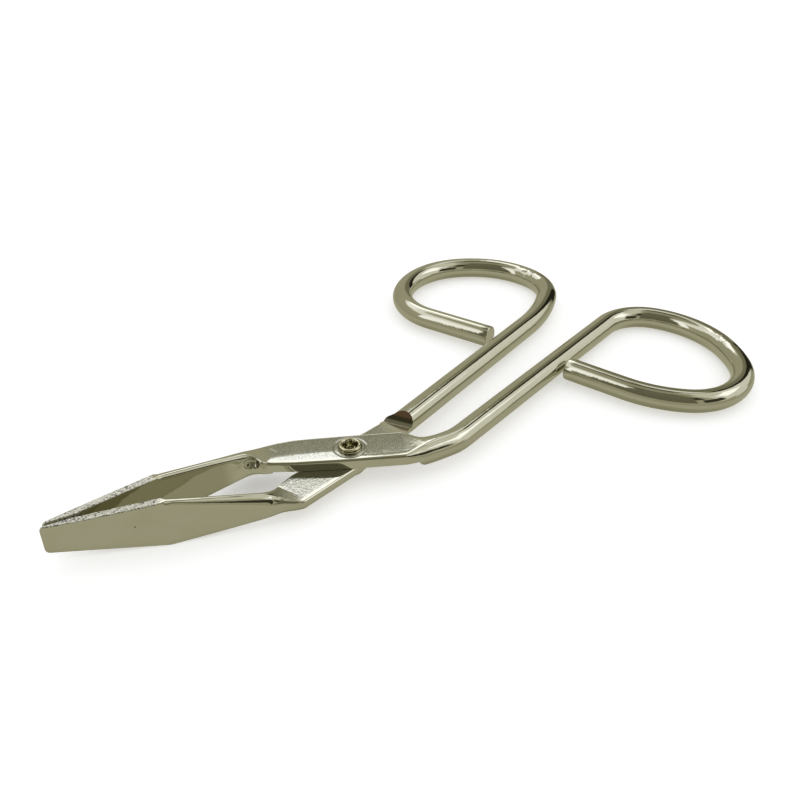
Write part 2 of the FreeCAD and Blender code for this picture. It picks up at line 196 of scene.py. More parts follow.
# Smooth pushes on the far jaw's neck: centre, direction, distance, reach in x, y, z, falloff.
UPPER_PUSHES = [
    ((-9.15, 7.75, 0.92), (0.80, 0.60, 0.0), 0.50, (1.0, 1.0, 0.56), 4.0),
    ((-8.60, 6.55, 1.22), (-0.75, -0.40, 0.45), 0.30, (0.50, 0.50, 0.50), 2.0),
    ((-10.25, 8.72, 1.12), (-0.4, -0.9, 0.1), 0.20, (0.45, 0.45, 0.32), 2.0),
]

# Rivet outline from the head up to the hollow: radius, z, radial wobble, height wobble (mm).
# The outline closes on the axis at HEAD_Z and HOLLOW_Z.
HEAD_Z, HOLLOW_Z, RIM_Z = -LAP_Z, 0.70, 1.95
RIVET_OUTLINE = [
    (1.45, HEAD_Z, 0, 0), (1.62, -1.80, 0, 0), (1.72, -1.70, 0, 0), (1.75, -1.58, 0, 0),
    (1.75, -1.44, 0, 0), (SHANK_R, -1.43, 0, 0), (SHANK_R, 1.395, 0, 0), (1.30, 1.40, 0, 0),
    (1.42, 1.42, 0, 0), (1.49, 1.49, 0, 0), (1.50, 1.58, 0, 0), (1.47, 1.66, 0.01, 0),
    (1.41, 1.715, 0.02, 0), (1.395, 1.75, 0.025, 0), (1.40, 1.80, 0.02, 0),
    (1.375, 1.87, 0, 0), (1.31, 1.925, 0, 0), (1.21, RIM_Z, 0.015, 0),
    (1.10, 1.94, 0.04, 0.05), (1.02, 1.89, 0.07, 0.05), (0.97, 1.80, 0.10, 0.05),
    (0.93, 1.66, 0.13, 0.05), (0.86, 1.45, 0.14, 0), (0.80, 1.20, 0.12, 0),
    (0.74, 0.95, 0.08, 0), (0.62, 0.80, 0, 0), (0.34, 0.72, 0, 0),
]


# ------------------------------------------------------------------- mesh helpers
def mesh_object(name, verts, faces, materials):
    """Object from points in mm on the half-lap plane, with its normals facing out."""
    lift = np.array([0.0, 0.0, LAP_Z])
    mesh = bpy.data.meshes.new(name)
    mesh.from_pydata([tuple((vert + lift) * MM) for vert in verts], [], faces)
    for material in materials:
        mesh.materials.append(material)
    made = bpy.data.objects.new(name, mesh)
    SCENE.collection.objects.link(made)
    work = bmesh.new()
    work.from_mesh(mesh)
    bmesh.ops.recalc_face_normals(work, faces=work.faces)
    work.to_mesh(mesh)
    work.free()
    return made


def tube_faces(rings, size):
    """Quads joining rings of equal size, one after another."""
    faces = []
    for i in range(rings - 1):
        for j in range(size):
            k = (j + 1) % size
            faces.append((i * size + j, i * size + k, (i + 1) * size + k, (i + 1) * size + j))
    return faces


def capped_tube_faces(rings, size):
    start_cap = tuple(range(size - 1, -1, -1))
    end_cap = tuple(range((rings - 1) * size, rings * size))
    return tube_faces(rings, size) + [start_cap, end_cap]


def store_mask(mesh, name, values):
    layer = mesh.attributes.new(name, "FLOAT", "POINT")
    layer.data.foreach_set("value", np.array(values, np.float32))


def shade_smooth(mesh, sharp_angle):
    for face in mesh.polygons:
        face.use_smooth = True
    mesh.set_sharp_from_angle(angle=math.radians(sharp_angle))


def unit(value):
    return np.clip(value, 0, 1)


class Strip:
    """Rings joined into a closed skin, with satin and grind masks per point."""

    def __init__(self):
        self.rings, self.satin, self.grind = [], [], []

    def add(self, points, satin=NO_MASK, grind=NO_MASK):
        self.rings.append(points)
        self.satin.append(satin)
        self.grind.append(grind)


# ------------------------------------------------------------------- arm skins
def walk(x, y, heading, runs):
    """Centre line of a bent rod as (x, y, heading), from the cut end to the forging."""
    bend_step, straight_step = 0.45, 1.2
    path = [(x, y, heading)]
    for length, turn in runs:
        straight = turn == 0.0
        count = max(2, int(length / (straight_step if straight else bend_step)))
        start = math.radians(heading)
        for i in range(1, count + 1):
            t = i / count
            if straight:
                path.append((x + length * t * math.cos(start),
                             y + length * t * math.sin(start), heading))
            else:
                curve = math.radians(turn) / length
                now = start + math.radians(turn) * t
                path.append((x + (math.sin(now) - math.sin(start)) / curve,
                             y - (math.cos(now) - math.cos(start)) / curve,
                             heading + turn * t))
        x, y, heading = path[-1]
    return path


def add_rod(strip, x, y, heading, runs, drop=0):
    """Round rod with a rounded cut end. The last `drop` samples are left to the forging."""
    path = walk(x, y, heading, runs)
    path = path[:len(path) - drop]
    angle = math.radians(heading)
    for ahead, radius in CUT_END:
        strip.add(place(round_ring(radius), x + ahead * math.cos(angle),
                        y + ahead * math.sin(angle), heading))
    for sample in path[1:]:
        strip.add(place(round_ring(ROD_R), *sample))
    return path[-1]


def pchip(knots, values, wanted):
    """Shape-keeping cubic through the knots: no overshoot between stations."""
    gaps = np.diff(knots)
    slopes = np.diff(values, axis=0) / gaps[:, None]
    tangents = np.zeros_like(values)
    tangents[0], tangents[-1] = slopes[0], slopes[-1]
    for i in range(1, len(knots) - 1):
        before, after = slopes[i - 1], slopes[i]
        weight_1, weight_2 = 2 * gaps[i] + gaps[i - 1], gaps[i] + 2 * gaps[i - 1]
        with np.errstate(divide="ignore", invalid="ignore"):
            mean = (weight_1 + weight_2) / (weight_1 / before + weight_2 / after)
        tangents[i] = np.where(before * after > 0, mean, 0)
    i = np.clip(np.searchsorted(knots, wanted, side="right") - 1, 0, len(knots) - 2)
    t = ((wanted - knots[i]) / gaps[i])[:, None]
    gap = gaps[i][:, None]
    return (values[i] * (1 + 2 * t) * (1 - t) ** 2 + tangents[i] * gap * t * (1 - t) ** 2
            + values[i + 1] * t * t * (3 - 2 * t) - tangents[i + 1] * gap * t * t * (1 - t))


def add_forging(strip, end, stations, eased_spans, masks_at):
    """Skin from the rod's end through the stations. Returns each span's first ring.

    Span i ends at stations[i]. Spans in eased_spans are curved, the others straight.
    """
    eased_step, straight_step = 0.13, 0.7
    x, y, heading = end
    # The last column is roundness: 1 on the rod, 0 at every station.
    rod_row = [x, y, heading % 360.0, ROD_D, ROD_R, -ROD_R, 1.4, 1.4, 1.0]
    rows = np.array([rod_row] + [[*row, 0.0] for row in stations])
    lengths = np.hypot(np.diff(rows[:, 0]), np.diff(rows[:, 1])) + 1e-3
    knots = np.concatenate([[0], np.cumsum(lengths)])
    starts = []
    for i in range(len(rows) - 1):
        starts.append(len(strip.rings))
        span = knots[i + 1] - knots[i]
        eased = i in eased_spans
        count = max(1, int(round(span / (eased_step if eased else straight_step))))
        parts = np.arange(1, count + 1) / count
        if eased:
            values = pchip(knots, rows, knots[i] + span * parts)
        else:
            values = rows[i] * (1 - parts[:, None]) + rows[i + 1] * parts[:, None]
        for row, part in zip(values, parts):
            x, y, heading, width, top, bottom, top_r, bottom_r, roundness = row
            limit = min(width / 2 - 0.01, (top - bottom) / 2 - 0.005)
            section = rect_ring(width, top, bottom, min(top_r, limit), min(bottom_r, limit))
            section = section * (1 - roundness) + round_ring(ROD_R) * roundness
            strip.add(place(section, x, y, heading), *masks_at(i, part))
    return starts


def relax(strip, first, last, rounds):
    """Evens out rings first..last along the arm, easing to nothing at both ends."""
    rings = np.array(strip.rings[first:last])
    i = np.arange(last - first)
    weight = unit(np.minimum(i, last - first - 1 - i) / 5)[:, None, None]
    for _ in range(rounds):
        even = rings.copy()
        even[1:-1] = 0.25 * rings[:-2] + 0.5 * rings[1:-1] + 0.25 * rings[2:]
        rings += (even - rings) * weight
    strip.rings[first:last] = list(rings)


def add_pad(strip, base, tip, inner_part):
    """The tip pad, ground on top, bottom and inner side, its end rounded above and below."""
    end_radius, chamfer, count = 0.5, 0.08, 14
    end_steps = (0.5, 0.36, 0.24, 0.15, 0.08, 0.03, 0.0)  # extra rings, back from the end
    base, tip = np.array(base), np.array(tip)
    length = math.hypot(tip[0] - base[0], tip[1] - base[1])
    grind = np.maximum(GROUND, (PART == inner_part) * 0.6)
    distances = {i / count * length for i in range(count)} | {length - q for q in end_steps}
    for distance in sorted(distances):
        t = distance / length
        x, y, heading, width, top, bottom, top_r, bottom_r = base * (1 - t) + tip * t
        left = length - distance
        if left < end_radius:
            rise = math.sqrt(max(0.0, end_radius ** 2 - (end_radius - left) ** 2))
            top -= end_radius - rise
            bottom += end_radius - rise
        if left < chamfer:
            width -= chamfer - left
        limit = width / 2 - 0.005
        section = rect_ring(width, top, bottom, min(top_r, limit), min(bottom_r, limit))
        strip.add(place(section, x, y, heading), NO_MASK, grind)


def push(strip, centre, direction, distance, reach, falloff):
    """Moves the points near a spot by a smooth amount: a dent or a bump."""
    direction = np.array(direction) / np.linalg.norm(direction)
    for ring in strip.rings:
        away = np.linalg.norm((ring - np.array(centre)) / np.array(reach), axis=1)
        ring += direction * (distance * np.exp(-away ** falloff))[:, None]


def crown_flat(strip):
    """Lowers the upper arm's flat slightly towards its near edge and its jaw end."""
    edge_drop, end_drop = 0.085, 0.07
    for ring in strip.rings:
        x, y = ring[:, 0] / ROD_D + PIVOT_X, ring[:, 1] / ROD_D + PIVOT_Y
        along = x * ALONG[0] + y * ALONG[1]
        across = x * ACROSS[0] + y * ACROSS[1]
        on_flat = (unit((ring[:, 2] - 0.6) / 0.5) * unit((3.2 - along) / 0.6)
                   * unit((along + 3.2) / 0.6))
        to_edge = unit((2.75 - across) / 0.62) ** 2 * (0.12 + 0.88 * unit((1.1 - along) / 1.4))
        to_jaw = unit((-0.2 - along) / 1.7) ** 2
        ring[:, 2] -= on_flat * (edge_drop * to_edge + end_drop * to_jaw)


def lean_neck(strip):
    """Rolls the near jaw's neck towards its outer side, most where it leaves the flat."""
    edge_x, edge_y, heading, _ = LOWER_NECK
    cos, sin = math.cos(math.radians(heading)), math.sin(math.radians(heading))
    for ring in strip.rings:
        x = ring[:, 0] / ROD_D + PIVOT_X - edge_x
        y = ring[:, 1] / ROD_D + PIVOT_Y - edge_y
        ahead = x * cos + y * sin
        inward = x * sin - y * cos
        on_neck = unit((ahead - 0.95) / 0.4) * unit((4.4 - ahead) / 2.6)
        to_edge = unit((0.36 - inward) / 0.36)
        raised = unit((ring[:, 2] / ROD_D + 0.25) / 0.45)
        ring[:, 2] -= on_neck * raised * 0.17 * ROD_D * to_edge ** 1.6


def upper_masks(i, part):
    """Satin top on the flat, ground metal on the jaw's last span."""
    satin = grind = NO_MASK
    if 1 <= i <= 6:
        satin = TOP * unit((i + part - 1.2) / 1.6) * unit(7.0 - i - part)
    if i >= 12:
        grind = GROUND
    return satin, grind


def lower_masks(i, part):
    """Satin lap face, lightly ground neck top, ground metal on the jaw's last span."""
    satin = TOP * 0.8 if 3 <= i <= 7 else NO_MASK
    if i >= 13:
        return satin, GROUND
    return satin, TOP * 0.30 * unit((i + part - 5.6) / 0.6) * unit((9.2 - i - part) / 1.2)


# -------------------------------------------------------------------- cut arms
def lap_cutter(name, heading, upward, material):
    """Half-lap clearance: a leaning shoulder at the handle end, square at the jaw end."""
    shoulder, jaw_end = 8.52, -8.85  # from the rivet axis
    depth, overlap, half_width = 3.4, -0.02, 6.5
    lean = math.tan(math.radians(34.0))
    angle = math.radians(heading)
    along = np.array([math.cos(angle), math.sin(angle), 0])
    side = np.array([-math.sin(angle), math.cos(angle), 0])
    up = np.array([0, 0, 1 if upward else -1])
    outline = [(jaw_end, overlap), (shoulder, overlap),
               (shoulder + depth * lean, depth), (jaw_end, depth)]
    verts = [along * distance + side * offset + up * z
             for offset in (-half_width, half_width) for distance, z in outline]
    faces = [(0, 1, 2, 3), (7, 6, 5, 4), (0, 4, 5, 1), (1, 5, 6, 2), (2, 6, 7, 3), (3, 7, 4, 0)]
    return mesh_object(name, np.array(verts), faces, [material])


def bore_cutter(name, radius, material):
    count = 64
    turns = [2 * math.pi * i / count for i in range(count)]
    verts = [(radius * math.cos(turn), radius * math.sin(turn), z)
             for z in (-4.0, 4.0) for turn in turns]
    return mesh_object(name, np.array(verts), capped_tube_faces(2, count), [material])


def cut_arm(strip, name, material, cut_material, cutters):
    """Builds the skin, cuts it, and carries the masks over from the nearest skin point."""
    verts = np.concatenate(strip.rings)
    faces = capped_tube_faces(len(strip.rings), RING_POINTS)
    arm = mesh_object(name, verts, faces, [material, cut_material])
    for cutter in cutters:
        cut = arm.modifiers.new("cut", "BOOLEAN")
        cut.operation, cut.object, cut.solver = "DIFFERENCE", cutter, "EXACT"
        cut.material_mode = "TRANSFER"
    graph = bpy.context.evaluated_depsgraph_get()
    mesh = bpy.data.meshes.new_from_object(arm.evaluated_get(graph))
    arm.modifiers.clear()
    uncut = arm.data
    arm.data = mesh
    mesh.name = name
    bpy.data.meshes.remove(uncut)
    for cutter in cutters:
        bpy.data.objects.remove(cutter)

    tree = KDTree(len(verts))
    for i, vert in enumerate(verts):
        tree.insert((vert + np.array([0.0, 0.0, LAP_Z])) * MM, i)
    tree.balance()
    nearest = [tree.find(vert.co)[1] for vert in mesh.vertices]
    store_mask(mesh, "satin", np.concatenate(strip.satin)[nearest])
    store_mask(mesh, "grind", np.concatenate(strip.grind)[nearest])
    shade_smooth(mesh, 32)
    arm.modifiers.new("wn", "WEIGHTED_NORMAL").keep_sharp = True
    return arm


def build_upper_arm(material, cut_material):
    strip = Strip()
    end = add_rod(strip, *UPPER_ROD, drop=4)
    starts = add_forging(strip, end, UPPER_STATIONS, (0, 1, 2, 6, 7, 8), upper_masks)
    relax(strip, starts[0] - 6, starts[3] - 1, rounds=40)
    relax(strip, starts[6], starts[9] + 2, rounds=12)
    add_pad(strip, *UPPER_PAD, LEFT_PART)
    crown_flat(strip)
    for spot in UPPER_PUSHES:
        push(strip, *spot)
    cutters = [lap_cutter("cu", -57.5, False, cut_material),
               bore_cutter("bu", SHANK_R + 0.05, cut_material)]
    arm = cut_arm(strip, "upper_arm_skin", material, cut_material, cutters)
    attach(arm, "upper")
    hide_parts("upper_arm")


def build_lower_arm(material, cut_material):
    strip = Strip()
    end = add_rod(strip, *LOWER_ROD)
    starts = add_forging(strip, end, LOWER_STATIONS, (0, 1, 7, 8, 9), lower_masks)
    relax(strip, starts[7], starts[10] + 2, rounds=16)
    add_pad(strip, *LOWER_PAD, RIGHT_PART)
    lean_neck(strip)
    cutters = [lap_cutter("cl", 13.5, True, cut_material),
               bore_cutter("bl", SHANK_R, cut_material)]
    arm = cut_arm(strip, "lower_arm_skin", material, cut_material, cutters)
    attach(arm, "lower")
    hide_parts("lower_arm")


# ----------------------------------------------------------------------- rivet
def build_rivet(material):
    """Turned outline with an uneven rim and hollow."""
    size = 96
    rng = np.random.default_rng(7)
    waves = [(count, rng.uniform(0, 6.28), rng.uniform(0.4, 1.0)) for count in (5, 7, 9, 13, 17)]
    verts = []
    for radius, z, radial, vertical in RIVET_OUTLINE:
        for j in range(size):
            turn = 2 * math.pi * j / size
            wobble = sum(high * math.sin(count * turn + phase)
                         for count, phase, high in waves) / 3.0
            out = radius + wobble * radial
            verts.append((out * math.cos(turn), out * math.sin(turn),
                          min(z + wobble * vertical, RIM_Z)))
    rings = len(RIVET_OUTLINE)
    faces = tube_faces(rings, size)
    bottom, top = len(verts), len(verts) + 1
    verts += [(0, 0, HEAD_Z), (0, 0, HOLLOW_Z)]
    for j in range(size):
        k = (j + 1) % size
        faces.append((bottom, k, j))
        faces.append((top, (rings - 1) * size + j, (rings - 1) * size + k))
    verts = np.array(verts)
    rivet = mesh_object("pivot_rivet_skin", verts, faces, [material])
    radii, heights = np.hypot(verts[:, 0], verts[:, 1]), verts[:, 2]
    store_mask(rivet.data, "satin", ((radii < 1.03) & (heights < 1.85)) * 0.6)
    store_mask(rivet.data, "grind", ((radii < 0.93) & (heights < 1.80)) * 0.12)
    shade_smooth(rivet.data, 50)
    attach(rivet, "lower")
    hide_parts("pivot_rivet")


# ---------------------------------------------------------------- node helpers
class Net:
    """Builds the node tree of a material or world."""

    def __init__(self, owner):
        owner.use_nodes = True
        self.tree = owner.node_tree
        self.tree.nodes.clear()

    def node(self, kind, **settings):
        made = self.tree.nodes.new(kind)
        for key, value in settings.items():
            setattr(made, key, value)
        return made

    def feed(self, socket, value):
        """Links a socket, or sets a plain value."""
        if isinstance(value, bpy.types.NodeSocket):
            self.tree.links.new(value, socket)
        else:
            socket.default_value = value

    def math(self, operation, first, second=0.0, clamp=False):
        made = self.node("ShaderNodeMath", operation=operation, use_clamp=clamp)
        for socket, value in zip(made.inputs, (first, second, 0.0)):
            self.feed(socket, value)
        return made.outputs[0]

    def add(self, first, second, clamp=False):
        return self.math("ADD", first, second, clamp)

    def sub(self, first, second):
        return self.math("SUBTRACT", first, second)

    def mul(self, first, second):
        return self.math("MULTIPLY", first, second)

    def ease(self, value, start, end, low=0.0, high=1.0):
        """Smooth step from low at start to high at end."""
        made = self.node("ShaderNodeMapRange", interpolation_type="SMOOTHSTEP")
        for socket, given in zip(made.inputs, (value, start, end, low, high)):
            self.feed(socket, given)
        return made.outputs[0]

    def fade(self, value, start, end, high=1.0):
        """Smooth step from high at start down to 0 at end."""
        return self.ease(value, start, end, low=high, high=0.0)

    def mix(self, factor, first, second):
        made = self.node("ShaderNodeMix", data_type="RGBA")
        for index, value in ((0, factor), (6, first), (7, second)):
            self.feed(made.inputs[index], value)
        return made.outputs[2]

    def noise(self, coords, scale, detail=2.0, rough=0.5):
        made = self.node("ShaderNodeTexNoise")
        values = {"Vector": coords, "Scale": scale, "Detail": detail, "Roughness": rough}
        for key, value in values.items():
            self.feed(made.inputs[key], value)
        return made.outputs[0]

    def coords(self, kind="Object"):
        return self.node("ShaderNodeTexCoord").outputs[kind]

    def axes(self, vector):
        made = self.node("ShaderNodeSeparateXYZ")
        self.feed(made.inputs[0], vector)
        return tuple(made.outputs)

    def from_axis(self, x, y):
        """Distance from the rivet axis."""
        squares = self.add(self.math("POWER", x, 2.0), self.math("POWER", y, 2.0))
        return self.math("SQRT", squares)

    def near(self, coords, point, radius):
        """1 at a point (mm, object frame), easing to 0 at radius mm."""
        made = self.node("ShaderNodeVectorMath", operation="DISTANCE")
        self.feed(made.inputs[0], coords)
        made.inputs[1].default_value = [value * MM for value in point]
        return self.fade(made.outputs["Value"], start=0.0, end=radius * MM)


# ------------------------------------------------------------------- materials
def metal(name, clean, stained, relief=None, tint=None):
    """Nickel plate: polished, with satin and rough-ground zones where the masks say so.

    relief(net, coords, height) adds to the bump, tint(net, coords, colour) to the colour.
    """
    # Bump heights in mm: on plain plate, and the change where it is satin or ground.
    swell, satin_swell = 0.035, 0.026
    ripple, satin_ripple, ground_ripple = 0.0012, 0.0006, 0.09
    satin_grain, ground_grain = 0.0004, 0.05
    # Shares of the stain, satin and ground colours, and added roughness.
    stain_share, satin_share, ground_share = 0.35, 0.75, 0.95
    satin_rough, ground_rough = 0.01, 0.26

    material = bpy.data.materials.new(name)
    net = Net(material)
    output = net.node("ShaderNodeOutputMaterial")
    plate = net.node("ShaderNodeBsdfPrincipled")
    net.feed(output.inputs[0], plate.outputs[0])
    plate.inputs["Metallic"].default_value = 1.0
    coords = net.coords()
    satin = net.node("ShaderNodeAttribute", attribute_name="satin").outputs["Fac"]
    grind = net.node("ShaderNodeAttribute", attribute_name="grind").outputs["Fac"]
    slow = net.noise(coords, scale=260.0, detail=3.0, rough=0.55)
    fine = net.noise(coords, scale=2600.0, detail=3.0, rough=0.6)
    grain = net.noise(coords, scale=7000.0, rough=0.6)

    stain = net.ease(slow, start=0.35, end=0.75)
    colour = net.mix(net.mul(stain, stain_share), clean, stained)
    fleck = net.ease(grain, start=0.40, end=0.62)
    spark = net.ease(net.noise(coords, scale=3400.0, rough=0.7), start=0.37, end=0.50)
    ground_colour = net.mix(spark, (0.20, 0.20, 0.19, 1), (1.0, 1.0, 1.0, 1))
    satin_colour = net.mix(fleck, (0.36, 0.37, 0.345, 1), (0.62, 0.63, 0.61, 1))
    colour = net.mix(net.mul(satin, satin_share), colour, satin_colour)
    colour = net.mix(net.mul(grind, ground_share), colour, ground_colour)
    if tint:
        colour = tint(net, coords, colour)
    net.feed(plate.inputs["Base Color"], colour)

    rough = net.ease(slow, start=0.3, end=0.8, low=0.05, high=0.09)
    rough = net.add(rough, net.mul(satin, satin_rough))
    rough = net.add(rough, net.mul(grind, ground_rough), clamp=True)
    net.feed(plate.inputs["Roughness"], rough)

    swells = net.mul(slow, net.sub(swell, net.mul(satin, satin_swell)))
    extra = net.add(net.mul(satin, satin_ripple), net.mul(grind, ground_ripple))
    ripples = net.mul(fine, net.add(ripple, extra))
    grains = net.mul(grain, net.add(net.mul(satin, satin_grain), net.mul(grind, ground_grain)))
    height = net.add(swells, net.add(ripples, grains))
    if relief:
        height = relief(net, coords, height)
    bump = net.node("ShaderNodeBump")
    bump.inputs["Strength"].default_value = 1.0
    bump.inputs["Distance"].default_value = MM
    net.feed(bump.inputs["Height"], height)
    net.feed(plate.inputs["Normal"], bump.outputs[0])
    return material


def wrinkles(net, coords, height, spots):
    """Shallow wrinkles on the inside of a tight bend. Spots are (point, radius) in mm."""
    mask = None
    for point, radius in spots:
        spot = net.near(coords, point, radius)
        mask = spot if mask is None else net.math("MAXIMUM", mask, spot)
    wrinkle_height = 0.16
    waves = net.mul(net.noise(coords, scale=700.0), wrinkle_height)
    return net.add(height, net.mul(mask, waves))


def press_ring(net, coords, height):
    """The shallow ring the riveting punch left on the flat round the rivet."""
    ring_radius = 1.95 * MM
    x, y, _ = net.axes(coords)
    away = net.math("ABSOLUTE", net.sub(net.from_axis(x, y), ring_radius))
    return net.sub(height, net.fade(away, start=0.0, end=0.22 * MM, high=0.045))


def scratch(net, coords, height):
    """One short scratch on the flat, along Y."""
    centre_x, centre_y = -6.06 * MM, 7.03 * MM
    x, y, _ = net.axes(coords)
    across = net.math("ABSOLUTE", net.add(x, -centre_x))
    along = net.math("ABSOLUTE", net.sub(y, centre_y))
    cut = net.mul(net.fade(across, start=0.02 * MM, end=0.1 * MM, high=0.02),
                  net.fade(along, start=0.45 * MM, end=0.6 * MM))
    return net.sub(height, cut)


def upper_relief(net, coords, height):
    height = scratch(net, coords, press_ring(net, coords, height))
    spots = [((54.15, -25.32, 3.4), 2.2), ((52.84, -27.59, 3.44), 1.8)]
    return wrinkles(net, coords, height, spots)


def lower_relief(net, coords, height):
    spots = [((54.95, 6.21, 3.26), 2.0), ((55.2, 8.45, 3.1), 1.6)]
    return wrinkles(net, coords, height, spots)


def upper_tint(net, coords, colour):
    """Painted shade: a darker inner face of the far jaw, and dark pits in the neck's recess."""
    inner_face_shade_share, recess_shade_gain = 0.9, 1.8
    x, _, _ = net.axes(coords)
    _, normal_y, _ = net.axes(net.coords("Normal"))
    # Painted shade: the far jaw's inner face, facing -Y, is darkened.
    face = net.mul(net.fade(normal_y, start=-0.8, end=-0.6),
                   net.fade(x, start=-12.5 * MM, end=-10.5 * MM))
    colour = net.mix(net.mul(face, inner_face_shade_share), colour, (0.50, 0.485, 0.38, 1))
    # Painted shade in the neck's recess, broken up by noise into dark pits.
    recess = net.near(coords, (-9.2, 7.6, 2.72), 0.95)
    noise = net.noise(coords, scale=1500.0, rough=0.6)
    recess_shade = net.mul(recess, net.ease(noise, start=0.40, end=0.52))
    recess_shade = net.math("MINIMUM", net.mul(recess_shade, recess_shade_gain), 1.0)
    return net.mix(recess_shade, colour, (0.22, 0.19, 0.10, 1))


def speck_tint(net, coords, colour):
    """A tiny dark inclusion in the plating of the near jaw."""
    speck = net.near(coords, (-24.31, 10.73, 1.94), 0.16)
    return net.mix(speck, colour, (0.02, 0.02, 0.015, 1))


def shoulder_tint(net, coords, colour):
    """The half-lap shoulder: warm at the top, where the plating is thin, and dark at its foot,
    which is painted shade.
    """
    _, _, z = net.axes(coords)
    shoulder = net.ease(z, start=(LAP_Z + 0.25) * MM, end=(LAP_Z + 0.45) * MM)
    upper = net.ease(z, start=(LAP_Z + 0.75) * MM, end=(LAP_Z + 1.05) * MM)
    # The dark colour low on the shoulder is painted shade.
    face = net.mix(upper, (0.20, 0.185, 0.13, 1), (0.52, 0.33, 0.27, 1))
    return net.mix(shoulder, colour, face)


def rivet_tint(net, coords, colour):
    """Painted shade in the rivet's hollow, broken up by noise, and in the crease under its rim.
    """
    crease_z = (LAP_Z + 1.725) * MM
    x, y, z = net.axes(coords)
    radius = net.from_axis(x, y)
    hollow_shade = net.fade(radius, start=0.88 * MM, end=1.04 * MM)
    # Painted shade along the crease under the rim.
    away = net.math("ABSOLUTE", net.sub(z, crease_z))
    crease_shade = net.mul(net.fade(away, start=0.03 * MM, end=0.11 * MM),
                     net.ease(radius, start=1.25 * MM, end=1.32 * MM))
    noise = net.noise(coords, scale=2300.0, rough=0.6)
    # Painted shade in the hollow, broken up by noise into lighter patches.
    dark = net.mix(net.ease(noise, start=0.44, end=0.60),
                   (0.10, 0.085, 0.045, 1), (0.80, 0.77, 0.58, 1))
    colour = net.mix(hollow_shade, colour, dark)
    return net.mix(crease_shade, colour, (0.16, 0.14, 0.08, 1))


# ------------------------------------------------------------------------ stage
def floor_material():
    """White paper that glows a little to the camera, least in the gap between the necks, where a
    soft shadow is painted by weakening the glow.
    """
    glow, gap_shadow_depth = 0.42, 0.31
    material = bpy.data.materials.new("pale_floor")
    net = Net(material)
    output = net.node("ShaderNodeOutputMaterial")
    paper = net.node("ShaderNodeBsdfDiffuse")
    paper.inputs[0].default_value = (0.88, 0.88, 0.88, 1)
    light = net.node("ShaderNodeEmission")
    light.inputs[0].default_value = (1, 1, 1, 1)
    rays = net.node("ShaderNodeLightPath")
    # Painted shadow: the glow is weaker round the gap between the necks.
    gap = net.near(net.coords(), (-8.8, 8.9, -1.2), 8.5)
    strength = net.sub(glow, net.mul(gap, gap_shadow_depth))
    net.feed(light.inputs[1], net.mul(rays.outputs["Is Camera Ray"], strength))
    both = net.node("ShaderNodeAddShader")
    net.feed(both.inputs[0], paper.outputs[0])
    net.feed(both.inputs[1], light.outputs[0])
    net.feed(output.inputs[0], both.outputs[0])
    return material


def build_floor():
    """Tilted plane just under the near jaw's lowest edge and the rods of the loops."""
    half_size, clearance = 900, 0.011
    jaw_x, jaw_depth = -21.6, 1.02 * ROD_D
    loop_x = 57.0
    slope = (jaw_depth - ROD_R) / (loop_x - jaw_x)
    verts = []
    for x, y in ((-1, -1), (1, -1), (1, 1), (-1, 1)):
        x, y = x * half_size, y * half_size
        z = LAP_Z - jaw_depth - clearance + (x - jaw_x) * slope
        verts.append((x * MM, y * MM, z * MM))
    mesh = bpy.data.meshes.new("floor")
    mesh.from_pydata(verts, [], [(0, 1, 2, 3)])
    floor = bpy.data.objects.new("floor", mesh)
    SCENE.collection.objects.link(floor)
    mesh.materials.append(floor_material())
    floor.visible_glossy = False


# Room brightness by elevation in degrees.
ROOM = [(-90, 0.17), (-60, 0.20), (-38, 0.27), (-14, 0.27), (-5, 0.21), (3, 0.23), (30, 0.24),
        (60, 0.25), (75, 0.20), (90, 0.20)]
# Soft boxes and dark gaps, each laid over those before it: middle azimuth (0 along +X, 90
# along +Y), half width, edge; lowest and highest elevation, edge; brightness.
PATCHES = [
    (-152.0, 32.0, 10.0, 42.0, 78.0, 6.0, 0.10),
    (-114.0, 7.0, 4.0, 44.0, 60.0, 4.0, 0.025),
    (-163.0, 36.0, 4.0, 14.0, 42.0, 6.0, 0.09),
    (160.0, 12.0, 6.0, 50.0, 76.0, 6.0, 0.09),
    (30.0, 26.0, 10.0, 62.0, 74.0, 4.0, 0.07),
    (6.0, 14.0, 9.0, 0.0, 42.0, 4.0, 0.12),
    (-50.0, 37.0, 5.0, 12.0, 60.0, 4.0, 0.48),
    (-28.0, 17.0, 3.0, 36.0, 60.0, 3.0, 0.50),
    (-45.0, 42.0, 8.0, 58.0, 73.0, 5.0, 0.42),
    (-50.0, 16.0, 8.0, 35.0, 51.0, 4.0, 0.88),
    (-50.0, 9.0, 8.0, 2.0, 28.0, 6.0, 0.46),
    (-97.0, 16.0, 3.0, 16.0, 35.0, 4.0, 0.025),
    (97.0, 62.0, 6.0, 42.0, 60.0, 3.0, 0.56),
    (80.0, 16.0, 8.0, 40.0, 51.0, 3.0, 0.66),
    (46.0, 11.0, 4.0, 39.1, 52.0, 0.8, 1.0),
    (151.0, 5.0, 4.0, 18.0, 50.0, 6.0, 0.74),
    (-3.0, 6.0, 2.5, -10.0, 35.0, 3.0, 0.012),
    (-2.0, 5.5, 2.5, 34.0, 49.0, 3.0, 0.015),
    (16.0, 8.0, 6.0, 47.0, 60.0, 3.0, 0.52),
]


def grey(value):
    return (value, value, value, 1)


def band(net, value, low, high, edge):
    """1 between low and high, easing to 0 over edge degrees outside each end."""
    return net.mul(net.ease(value, low - edge, low), net.fade(value, high, high + edge))


